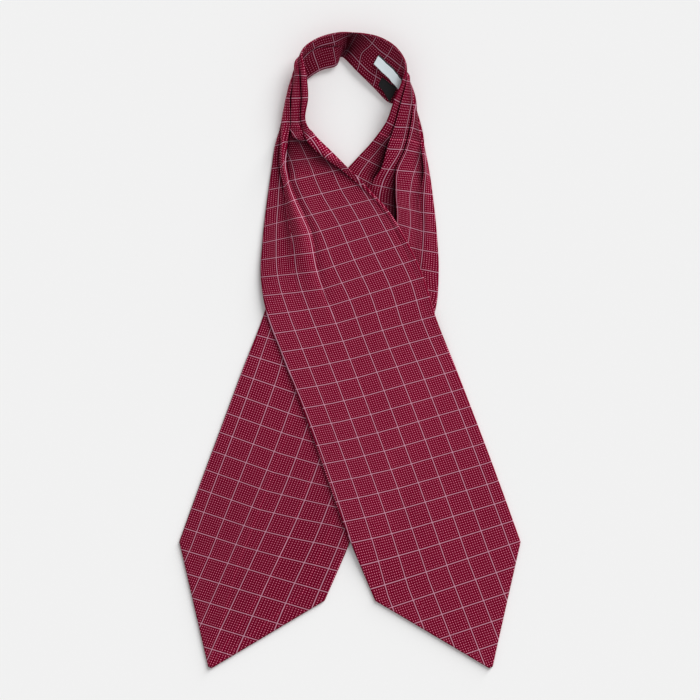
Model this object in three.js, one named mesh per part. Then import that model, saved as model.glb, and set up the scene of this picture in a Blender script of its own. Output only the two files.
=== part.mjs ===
// A silk day cravat laid flat: one strip of cloth, pleated where it goes round the neck, with its
// two pointed blades crossed below the loop. Millimetres, +Z up, origin on the floor under the middle.
import * as THREE from "three";

// Driving sizes
const CLOTH = 1.4; // one made-up layer: silk face, interlining and silk back
const SEAM_GAP = 0.4; // between pieces that lie on each other; bends bring them 0.1 closer
const STRETCH_GAP = 0.7; // between stretches along the strip; folds inside a turn run closer
const CHECK = 19.6; // side of one square of the woven check, the unit of length along the strip
const LAYER_SLACK = 0.4; // how far the upper blade floats above the lower one
const SETTLE = 40; // distance in which the upper blade comes down to the floor beside the lower one
const NOSE = 0.5; // half the width of the rounded step at a pleat's edge
const WIDEST_NOSE = 0.2; // and the most of a narrow strip that it takes
const TIP_WIDTH = 2;
const LIP_FALL = 0.8; // share of its height that the raised front edge loses towards its rim
const LABEL_THICKNESS = 0.7;
const DEEP_RED = "#7c0d30";
const LABEL_WHITE = "#dfe4ec";
const LABEL_BLACK = "#17161a";

// Where the folds die out across each flat blade, as shares of the way from its outer edge to its inner one
const FRONT_SHARES = { fold1: 0.19, fold2: 0.41, fold3: 0.965 };
const BACK_SHARES = { fold1: 0.14, fold2: 0.37, fold3: 0.6 };
// Across the back of the neck the three folds divide the band evenly
const BAND_SHARES = { fold1: 0.25, fold2: 0.5, fold3: 0.75 };
const BAND_STEPS = [0.6, 0.6, 0.6];
const NO_STEPS = [0, 0, 0];

// The lines that run along the strip, from its outer edge to the edge beside the neck
const LINES = ["outer", "fold1", "fold2", "fold3", "inner"];

const between = (a, b, share) => a.map((value, i) => value + (b[i] - value) * share);

// A flat stretch of blade
function flat(at, outer, inner, shares) {
  const row = { at, outer: [...outer, 0], inner: [...inner, 0], steps: NO_STEPS };
  for (const [fold, share] of Object.entries(shares)) row[fold] = between(row.outer, row.inner, share);
  return row;
}

// A section of the band behind the neck, between its lower and upper edge, hollowed by dip
function band(at, outer, inner, dip) {
  const row = { at, outer, inner, steps: BAND_STEPS };
  for (const [fold, share] of Object.entries(BAND_SHARES)) {
    const [x, y, z] = between(outer, inner, share);
    row[fold] = [x, y, z - dip * 4 * share * (1 - share)];
  }
  return row;
}

// Sections of the strip, in order from the front blade's corners, up the left side, behind the neck and
// down the right side to the back blade's corners. "at" counts squares of the check along the cloth.
// "steps" is how far each fold stands over the pleat inside it; below zero the inner pleat lies over it.
const FRONT = [
  flat(-12.5, [24.4, -242], [165.6, -184.8], FRONT_SHARES),
  flat(-9.5, [0, -184.8], [146, -132.7], FRONT_SHARES),
  flat(-3, [-44, -59.5], [103.5, -20], FRONT_SHARES),
  { at: 0, outer: [-66, -2, 0], fold1: [-37.5, 2.5, 0], fold2: [-5, 9, 0],
    fold3: [77.5, 31.5, 0.6], inner: [83, 33, 0.9], steps: NO_STEPS },
  { at: 2, outer: [-79.5, 34, 0], fold1: [-51.5, 37.5, 0], fold2: [-20, 42.5, 0],
    fold3: [65, 68.5, 1], inner: [70.5, 70, 1.5], steps: [0, 0.2, 0] },
  { at: 4, outer: [-85.5, 70.5, 0], fold1: [-54, 73.5, 0], fold2: [-31, 76, 0],
    fold3: [50.5, 102, 1.4], inner: [55, 104, 2.2], steps: [-0.3, 0.6, 0] },
  { at: 6, outer: [-84, 103.5, 0], fold1: [-56.5, 109.5, 0], fold2: [-37.5, 112.5, 0],
    fold3: [32, 131.5, 1.5], inner: [37, 134, 3.2], steps: [-0.9, 1, -1] },
  { at: 8, outer: [-80.5, 136.5, 0], fold1: [-61.5, 141.5, 0.2], fold2: [-51.5, 145.5, 0.3],
    fold3: [7.5, 159.5, 1.2], inner: [12.5, 160.5, 5], steps: [-1.4, 1.2, -2.2] },
  { at: 9, outer: [-78, 155, 0], fold1: [-63, 158, 0.5], fold2: [-57.5, 163.5, 0.8],
    fold3: [-9, 175, 1.5], inner: [-2.5, 175.5, 7.5], steps: [-2, 1.5, -3] },
  { at: 10, outer: [-75, 175.5, 0], fold1: [-66, 177, 1], fold2: [-61.5, 182.5, 1.5],
    fold3: [-23.5, 187, 2.5], inner: [-18, 190.5, 10], steps: [-2.5, 3.2, -3.4] },
  { at: 11, outer: [-71.5, 197.5, 0], fold1: [-65, 199, 2.2], fold2: [-59, 202, 4],
    fold3: [-40, 203.5, 6.5], inner: [-34, 206.5, 13], steps: [-2.3, 3.6, -2.4] },
  { at: 12, outer: [-64.5, 217, 0], fold1: [-64.3, 220, 4], fold2: [-57.5, 221, 8.5],
    fold3: [-47, 221.5, 13], inner: [-43, 222, 17], steps: [-0.6, 2.6, 2.2] },
  { at: 13, outer: [-59.5, 234, 0], fold1: [-60.3, 242.5, 5.5], fold2: [-57, 243, 11],
    fold3: [-47, 243.5, 16.5], inner: [-40.5, 243.5, 20.5], steps: [0.2, 2.4, 2.4] },
  { at: 14, outer: [-54.6, 247, 0], fold1: [-55.2, 255.5, 6.5], fold2: [-53.2, 264, 12.5],
    fold3: [-47.6, 265, 18.5], inner: [-42, 264.5, 22], steps: [0.3, 1.1, 2.2] },
  { at: 15, outer: [-48, 257.5, 1], fold1: [-49.4, 264, 6.5], fold2: [-49.4, 272.5, 12.5],
    fold3: [-47.5, 282.5, 18.5], inner: [-44.2, 285.8, 22.5], steps: [0.2, 0.5, 1.5] },
];
const NAPE = [
  band(16, [-29.5, 270, 4.5], [-33, 300, 21], 1),
  band(17, [-10, 278.5, 5], [-13.5, 307, 19.5], 1.5),
  band(18, [-5.5, 282, 4.5], [5.5, 307, 18.5], 3.5),
  band(19, [6.5, 270.5, 5], [25, 303.5, 19], 1.5),
  band(20, [21, 256.5, 4.5], [40.5, 295, 20], 1),
  band(21, [35, 243, 3], [50.5, 282, 21.5], 0.5),
];
const BACK = [
  { at: 21.6, outer: [49.8, 237, 1], fold1: [52, 248.5, 6], fold2: [52.2, 261, 12],
    fold3: [52, 270, 18], inner: [52.2, 274.2, 22], steps: [0.2, 0.5, 0.9] },
  { at: 22.4, outer: [57, 230.5, 0], fold1: [57.8, 245, 6.5], fold2: [55.2, 257.5, 13],
    fold3: [53.4, 260, 18], inner: [50.6, 261.2, 21], steps: [0.3, 0.6, 1.8] },
  { at: 23.4, outer: [63.2, 221.5, 0], fold1: [62.4, 234, 5], fold2: [60.6, 237, 9.5],
    fold3: [48.4, 239, 14.5], inner: [42.6, 242, 18], steps: [0.6, 1.6, 2.4] },
  { at: 24.4, outer: [68.2, 208, 0], fold1: [66.6, 212, 2.4], fold2: [58.5, 215.5, 6],
    fold3: [43, 216.8, 10.5], inner: [35.5, 220.5, 13], steps: [0.9, 2.6, 2.6] },
  { at: 25.4, outer: [73.6, 188.5, 0], fold1: [70.6, 190, 0.6], fold2: [54.4, 194, 3],
    fold3: [37.5, 195.5, 5.5], inner: [23, 202.5, 8], steps: [1.2, 2.8, 3.6] },
  { at: 26.4, outer: [77.6, 169, 0], fold1: [72, 171.5, 0.3], fold2: [46.4, 174, 1.5],
    fold3: [32, 176, 2.5], inner: [9.5, 187.5, 4], steps: [1.5, 3.2, 3.6] },
  { at: 27.4, outer: [79.8, 150.5, 0], fold1: [68.5, 152, 0], fold2: [45.8, 155, 0.4],
    fold3: [25, 159.5, 0.8], inner: [-3, 174, 1], steps: [0.9, 2.8, 2.6] },
  { at: 29.4, outer: [83.5, 113, 0], fold1: [69.5, 115, 0], fold2: [46, 122, 0],
    fold3: [17.5, 130.5, 0], inner: [-29, 145, 0], steps: [0.6, 1.2, 1] },
  { at: 31.4, outer: [85, 75, 0], fold1: [67, 78.5, 0], fold2: [36, 85, 0],
    fold3: [0, 95, 0], inner: [-55, 108.5, 0], steps: [0.4, 0.3, 0] },
  flat(33.4, [81.5, 37.5], [-72.5, 68.5], BACK_SHARES),
  flat(35.4, [66, -2], [-83, 33], BACK_SHARES),
  flat(38.4, [44.5, -60.5], [-103.6, -20], BACK_SHARES),
  flat(44.9, [0.3, -184.8], [-146, -132.7], BACK_SHARES),
  flat(47.9, [-24.9, -242.9], [-165.6, -184.8], BACK_SHARES),
];
const SECTIONS = [...FRONT, ...NAPE, ...BACK];
const FRONT_TIP = { at: -17, point: [136.4, -308.2], shares: FRONT_SHARES };
const BACK_TIP = { at: 52.4, point: [-135.8, -308.2], shares: BACK_SHARES };

// Where the strip is parted into stretches, and from where the back half lies under the front one
const FRONT_PLEATS_OPEN = 11.5;
const LEFT_TURN = 15;
const RIGHT_TURN = 21.6;
const BACK_PLEATS_OPEN = 24.9;
const UNDER_FROM = 27;

// Labels on the inside of the band: where their two long edges lie, as shares of its width
const LABELS = [
  { name: "woven_label", color: LABEL_WHITE, edges: [
    { at: 19.55, low: 0.42, high: 0.642 },
    { at: 20.1, low: 0.404, high: 0.622 },
    { at: 20.6, low: 0.448, high: 0.664 },
    { at: 21, low: 0.42, high: 0.654 },
    { at: 21.3, low: 0.29, high: 0.528 },
  ] },
  { name: "care_label", color: LABEL_BLACK, edges: [
    { at: 20.2, low: 0.117, high: 0.303 },
    { at: 20.57, low: 0.112, high: 0.35 },
    { at: 20.82, low: 0.066, high: 0.37 },
    { at: 21.02, low: 0.02, high: 0.365 },
  ] },
];

// Spacing of the rows of faces along the strip, in squares of the check
const BLADE_ROWS = 2.5; // on the flat blades, up to FRONT_FLAT and from BACK_FLAT
const RELEASE_ROWS = 1; // where the pleats are released, up to FRONT_STEEP and from BACK_STEEP
const PLEAT_ROWS = 0.5; // between those, round the neck
const FRONT_FLAT = 0;
const FRONT_STEEP = 8;
const BACK_STEEP = 29.4;
const BACK_FLAT = 35.4;

// One number at a place along the strip: a smooth curve through the sections' values
function smooth(at, value) {
  const last = SECTIONS.length - 1;
  let i = 0;
  while (i < last - 1 && SECTIONS[i + 1].at <= at) i += 1;
  const length = (k) => SECTIONS[k + 1].at - SECTIONS[k].at;
  const rate = (k) => (value(SECTIONS[k + 1]) - value(SECTIONS[k])) / length(k);
  const slope = (k) => {
    if (k === 0) return rate(0);
    if (k === last) return rate(last - 1);
    return (rate(k - 1) * length(k) + rate(k) * length(k - 1)) / (length(k - 1) + length(k));
  };
  const h = length(i);
  const t = (at - SECTIONS[i].at) / h;
  const start = (1 + 2 * t) * (1 - t) ** 2 * value(SECTIONS[i]) + t * (1 - t) ** 2 * h * slope(i);
  const end = t * t * (3 - 2 * t) * value(SECTIONS[i + 1]) + t * t * (t - 1) * h * slope(i + 1);
  return start + end;
}

// The five lines and three steps at any place along the strip
function sectionAt(at) {
  for (const [tip, corner] of [[FRONT_TIP, SECTIONS[0]], [BACK_TIP, SECTIONS.at(-1)]]) {
    const share = (at - corner.at) / (tip.at - corner.at);
    if (share > 0) return pointed(tip, corner, at, share);
  }
  const row = { at, steps: NO_STEPS.map((_, k) => smooth(at, (section) => section.steps[k])) };
  for (const line of LINES) {
    row[line] = [0, 1, 2].map((axis) => smooth(at, (section) => section[line][axis]));
    row[line][2] = Math.max(row[line][2], 0);
  }
  return row;
}

// The pointed end of a blade narrows from its corners to a short blunt tip
function pointed(tip, corner, at, share) {
  const across = new THREE.Vector2(corner.inner[0] - corner.outer[0], corner.inner[1] - corner.outer[1]);
  across.setLength(TIP_WIDTH / 2);
  const [x, y] = tip.point;
  const outer = between(corner.outer, [x - across.x, y - across.y, 0], share);
  const inner = between(corner.inner, [x + across.x, y + across.y, 0], share);
  return flat(at, outer.slice(0, 2), inner.slice(0, 2), tip.shares);
}

// Outline of the back blade on the floor, which the front blade lies over
const UNDER_ROWS = BACK.filter((row) => row.at > UNDER_FROM);
const UNDER_OUTLINE = [
  ...UNDER_ROWS.map((row) => row.inner),
  BACK_TIP.point,
  ...UNDER_ROWS.map((row) => row.outer).reverse(),
];

// How far a point lies outside that outline, zero inside it
function outsideUnderBlade(x, y) {
  let nearest = Infinity;
  let inside = false;
  UNDER_OUTLINE.forEach(([ax, ay], i) => {
    const [bx, by] = UNDER_OUTLINE[(i + 1) % UNDER_OUTLINE.length];
    const dx = bx - ax;
    const dy = by - ay;
    const share = THREE.MathUtils.clamp(((x - ax) * dx + (y - ay) * dy) / (dx * dx + dy * dy), 0, 1);
    nearest = Math.min(nearest, Math.hypot(x - ax - dx * share, y - ay - dy * share));
    if (ay > y !== by > y && x < ax + (dx * (y - ay)) / dy) inside = !inside;
  });
  return inside ? 0 : nearest;
}

function liftOverUnderBlade(x, y) {
  const near = 1 - THREE.MathUtils.smoothstep(outsideUnderBlade(x, y), 0, SETTLE);
  return (CLOTH + SEAM_GAP + LAYER_SLACK) * near;
}

// Pleat strips between the lines, with the number of faces across each
const STRIPS = [
  { from: "outer", to: "fold1", faces: 4 },
  { from: "fold1", to: "fold2", faces: 4 },
  { from: "fold2", to: "fold3", faces: 7 },
  { from: "fold3", to: "inner", faces: 3 },
];
const LIP = 3; // the strip beside the neck

// How far a pleat stands off the plain inside: it rises to each folded edge that lies over a neighbour
function relief(strip, share, steps) {
  if (strip === LIP) return 0;
  const overInner = Math.max(steps[strip], 0) * Math.sin((share * Math.PI) / 2);
  const overOuter = strip === 0 ? 0 : Math.max(-steps[strip - 1], 0) * Math.cos((share * Math.PI) / 2);
  return overInner + overOuter;
}

// How far the rolled edge beside the neck is raised, straight up
function lipHeight(strip, share, steps) {
  if (strip !== LIP) return 0;
  return Math.max(-steps[2], 0) * (1 - LIP_FALL * share);
}

// A point of the strip's inside face
function insideFace(at, strip, share) {
  const row = sectionAt(at);
  const [x, y, z] = between(row[STRIPS[strip].from], row[STRIPS[strip].to], share);
  const onFront = at < FRONT_PLEATS_OPEN + 1;
  return new THREE.Vector3(x, y, onFront ? z + liftOverUnderBlade(x, y) : z);
}

// Which way is out of the strip's inside face
function outward(at, strip, share) {
  const nearby = 0.02;
  const ahead = insideFace(at + nearby, strip, share).sub(insideFace(at - nearby, strip, share));
  const across = insideFace(at, strip, 1).sub(insideFace(at, strip, 0));
  return across.cross(ahead).normalize();
}

// Columns across the strip; each fold has one on either side of its rounded step
function columnsAt(at) {
  const row = sectionAt(at);
  return STRIPS.flatMap(({ from, to, faces }, strip) => {
    const width = new THREE.Vector3(...row[from]).distanceTo(new THREE.Vector3(...row[to]));
    const nose = Math.min(NOSE / width, WIDEST_NOSE);
    const start = strip === 0 ? 0 : nose;
    const end = strip === STRIPS.length - 1 ? 1 : 1 - nose;
    const shareOf = (i) => THREE.MathUtils.lerp(start, end, i / faces);
    return Array.from({ length: faces + 1 }, (_, i) => ({ strip, share: shareOf(i) }));
  });
}

// Beside a fold the way out is the middle of its two strips' ways, so that the step stays clean
function outwardAtColumn(at, { strip, share }) {
  const way = outward(at, strip, share);
  const beside = 0.12;
  if (share < beside && strip > 0) way.add(outward(at, strip - 1, 1));
  if (share > 1 - beside && strip < STRIPS.length - 1) way.add(outward(at, strip + 1, 0));
  return way.normalize();
}

// A closed solid from two grids of points with the same rows and columns, the outer one facing out
function wall(insideGrid, outsideGrid) {
  const rows = insideGrid.length;
  const columns = insideGrid[0].length;
  const points = [...insideGrid.flat(), ...outsideGrid.flat()];
  const inside = (r, c) => r * columns + c;
  const outside = (r, c) => rows * columns + r * columns + c;
  const triangles = [];
  const quad = (a, b, c, d) => triangles.push(a, b, c, a, c, d);
  for (let r = 0; r + 1 < rows; r += 1) {
    for (let c = 0; c + 1 < columns; c += 1) {
      quad(outside(r, c), outside(r, c + 1), outside(r + 1, c + 1), outside(r + 1, c));
      quad(inside(r, c), inside(r + 1, c), inside(r + 1, c + 1), inside(r, c + 1));
    }
    quad(inside(r, 0), outside(r, 0), outside(r + 1, 0), inside(r + 1, 0));
    const edge = columns - 1;
    quad(inside(r, edge), inside(r + 1, edge), outside(r + 1, edge), outside(r, edge));
  }
  for (let c = 0; c + 1 < columns; c += 1) {
    quad(inside(0, c), inside(0, c + 1), outside(0, c + 1), outside(0, c));
    const end = rows - 1;
    quad(inside(end, c), outside(end, c), outside(end, c + 1), inside(end, c + 1));
  }
  const geometry = new THREE.BufferGeometry();
  geometry.setAttribute("position", new THREE.Float32BufferAttribute(points.flatMap((p) => p.toArray()), 3));
  geometry.setIndex(triangles);
  geometry.computeVertexNormals();
  return geometry;
}

const onFloor = (point) => point.setZ(Math.max(point.z, 0));

// One stretch of the strip as a wall with its pleats raised on the outer side
function stretch(name, places) {
  const insideGrid = [];
  const outsideGrid = [];
  for (const at of places) {
    const steps = sectionAt(at).steps;
    const columns = columnsAt(at);
    insideGrid.push(columns.map(({ strip, share }) => onFloor(insideFace(at, strip, share))));
    outsideGrid.push(columns.map((column) => {
      const thickness = CLOTH + relief(column.strip, column.share, steps);
      const point = insideFace(at, column.strip, column.share);
      point.addScaledVector(outwardAtColumn(at, column), thickness);
      point.z += lipHeight(column.strip, column.share, steps);
      return onFloor(point);
    }));
  }
  return named(name, wall(insideGrid, outsideGrid), silk);
}

// Places every "step" squares from one end to the other, both ends kept half a gap back
function spaced(from, to, step) {
  const gap = STRETCH_GAP / 2 / CHECK;
  const count = Math.max(1, Math.round((to - from) / step));
  const start = from + gap;
  const length = to - gap - start;
  return Array.from({ length: count + 1 }, (_, i) => start + (length * i) / count);
}

// A label's two edges at a place along the strip
function labelEdges(edges, at) {
  const next = Math.max(1, edges.findIndex((edge) => edge.at >= at));
  const [a, b] = [edges[next - 1], edges[next]];
  const share = (at - a.at) / (b.at - a.at);
  return between([a.low, a.high], [b.low, b.high], share);
}

// A label sewn flat on the inside of the band
function label({ name, color, edges }) {
  const alongFaces = 10;
  const acrossFaces = 3;
  const under = [];
  const over = [];
  for (let i = 0; i <= alongFaces; i += 1) {
    const at = THREE.MathUtils.lerp(edges[0].at, edges.at(-1).at, i / alongFaces);
    const [low, high] = labelEdges(edges, at);
    const row = Array.from({ length: acrossFaces + 1 }, (_, k) => {
      const place = THREE.MathUtils.lerp(low, high, k / acrossFaces) * STRIPS.length;
      const strip = Math.min(Math.floor(place), STRIPS.length - 1);
      const inward = outward(at, strip, place - strip).negate();
      return { point: insideFace(at, strip, place - strip), inward };
    });
    under.push(row.map(({ point, inward }) => point.clone().addScaledVector(inward, SEAM_GAP)));
    over.push(row.map(({ point, inward }) => point.addScaledVector(inward, SEAM_GAP + LABEL_THICKNESS)));
  }
  return named(name, wall(over, under), new THREE.MeshStandardMaterial({ color, roughness: 0.7 }));
}

function named(name, geometry, material) {
  const mesh = new THREE.Mesh(geometry, material);
  mesh.name = name;
  return mesh;
}

const silk = new THREE.MeshStandardMaterial({ color: DEEP_RED, roughness: 0.55, metalness: 0 });
const frontCorner = SECTIONS[0].at;
const backCorner = SECTIONS.at(-1).at;

const cravat = new THREE.Group();
cravat.name = "cravat";
cravat.add(
  stretch("front_blade", [
    FRONT_TIP.at,
    ...spaced(frontCorner, FRONT_FLAT, BLADE_ROWS),
    ...spaced(FRONT_FLAT, FRONT_STEEP, RELEASE_ROWS).slice(1),
    ...spaced(FRONT_STEEP, FRONT_PLEATS_OPEN, PLEAT_ROWS).slice(1),
  ]),
  stretch("front_neck_pleats", spaced(FRONT_PLEATS_OPEN, LEFT_TURN, PLEAT_ROWS)),
  stretch("nape_band", spaced(LEFT_TURN, RIGHT_TURN, PLEAT_ROWS)),
  stretch("back_neck_pleats", spaced(RIGHT_TURN, BACK_PLEATS_OPEN, PLEAT_ROWS)),
  stretch("back_blade", [
    ...spaced(BACK_PLEATS_OPEN, BACK_STEEP, PLEAT_ROWS),
    ...spaced(BACK_STEEP, BACK_FLAT, RELEASE_ROWS).slice(1),
    ...spaced(BACK_FLAT, backCorner, BLADE_ROWS).slice(1),
    BACK_TIP.at,
  ]),
  ...LABELS.map(label),
);

export default cravat;
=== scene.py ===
from collections import namedtuple

import bpy
import numpy as np
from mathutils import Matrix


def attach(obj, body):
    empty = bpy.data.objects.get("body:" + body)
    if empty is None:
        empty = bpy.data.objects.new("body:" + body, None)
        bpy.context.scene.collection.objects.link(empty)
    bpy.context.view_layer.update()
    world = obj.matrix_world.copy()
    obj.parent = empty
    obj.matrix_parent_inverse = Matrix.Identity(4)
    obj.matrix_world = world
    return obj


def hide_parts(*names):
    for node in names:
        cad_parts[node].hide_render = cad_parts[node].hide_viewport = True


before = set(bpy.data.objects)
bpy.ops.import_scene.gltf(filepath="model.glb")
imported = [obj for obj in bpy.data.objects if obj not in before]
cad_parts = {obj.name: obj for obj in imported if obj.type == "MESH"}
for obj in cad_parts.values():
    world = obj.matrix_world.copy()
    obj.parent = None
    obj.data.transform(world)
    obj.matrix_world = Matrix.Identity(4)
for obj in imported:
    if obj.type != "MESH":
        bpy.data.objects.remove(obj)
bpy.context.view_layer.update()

# The two blades
# Each end of the strip is a broad pointed blade of silk twill, doubled over a soft interlining and
# pressed. The pleats that narrow the strip at the neck are let out into it as valleys that fade away.
MM = 0.001  # sizes are in millimetres, and Blender works in metres
CHECK = 19.6  # side of one square of the woven check, and the unit of "at" along the strip
CLOTH = 2.2  # one made-up layer: silk face, interlining and silk back
LAYER_LIFT = 2.7  # how high the front blade rides over the back one
SETTLE = 40  # distance in which it comes down to the table beside the back blade
TIP_WIDTH = 2
EDGE_INSET = 0.2  # the rounded rim stands past it

# Places along the strip, counted in squares of the check, and the two points on the table
FRONT_TIP = -17
FRONT_PLEATS_OPEN = 11.5
LIFT_ENDS = 12.5  # nothing past this place lies over the back blade
BACK_PLEATS_OPEN = 24.9
BACK_UNDER_FROM = 27  # from here on the back blade can lie under the front one
BACK_TIP = 52.4
FRONT_POINT = (136.2, -307.2)
BACK_POINT = (-135.6, -307.2)

# Sections across the strip in order from the front tip, round the neck, to the back tip. The lines run
# from the outer edge over three pleat folds to the edge beside the neck. "steps" is how far each fold
# stands over the pleat inside it. "warp" counts check lines across, before and after each fold, and
# "weft" counts them along each of the five lines.
Section = namedtuple("Section", "at lines steps warp weft")
LINES = 5
COUNTS_PER_LINE = (1, 2, 2, 2, 1)  # an edge has one count across, and a fold one on each side
BAND_SHARES = (0, 0.25, 0.5, 0.75, 1)
BAND_STEPS = (0.6, 0.6, 0.6)
BAND_WARP = (0.7, 1.4, 2.5, 3.1, 4.9, 6.0, 7.0, 7.55)


def pleated(at, outer, fold1, fold2, fold3, inner, steps, warp, weft=None):
    return Section(at, (outer, fold1, fold2, fold3, inner), steps, warp, (weft or at,) * LINES)


def flat(at, outer, inner, shares, warp, weft):
    outer, inner = np.array([*outer, 0.0]), np.array([*inner, 0.0])
    shares = (0, *shares, 1)
    lines = [outer + (inner - outer) * share for share in shares]
    warp, weft = (np.interp(shares, (0, 1), ends) if len(ends) == 2 else ends for ends in (warp, weft))
    return Section(at, lines, (0, 0, 0), np.repeat(warp, COUNTS_PER_LINE), weft)


def pointed(at, point, corner, shares, warp, weft):
    across = np.array(corner.lines[-1])[:2] - np.array(corner.lines[0])[:2]
    across *= TIP_WIDTH / 2 / np.hypot(*across)
    return flat(at, np.array(point) - across, np.array(point) + across, shares, warp, weft)


def band(at, outer, inner, dip, weft):
    outer, inner = np.array(outer, float), np.array(inner, float)
    sag = np.array([0, 0, dip])
    lines = [outer + (inner - outer) * share - sag * 4 * share * (1 - share) for share in BAND_SHARES]
    return Section(at, lines, BAND_STEPS, BAND_WARP, (weft,) * LINES)


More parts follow.
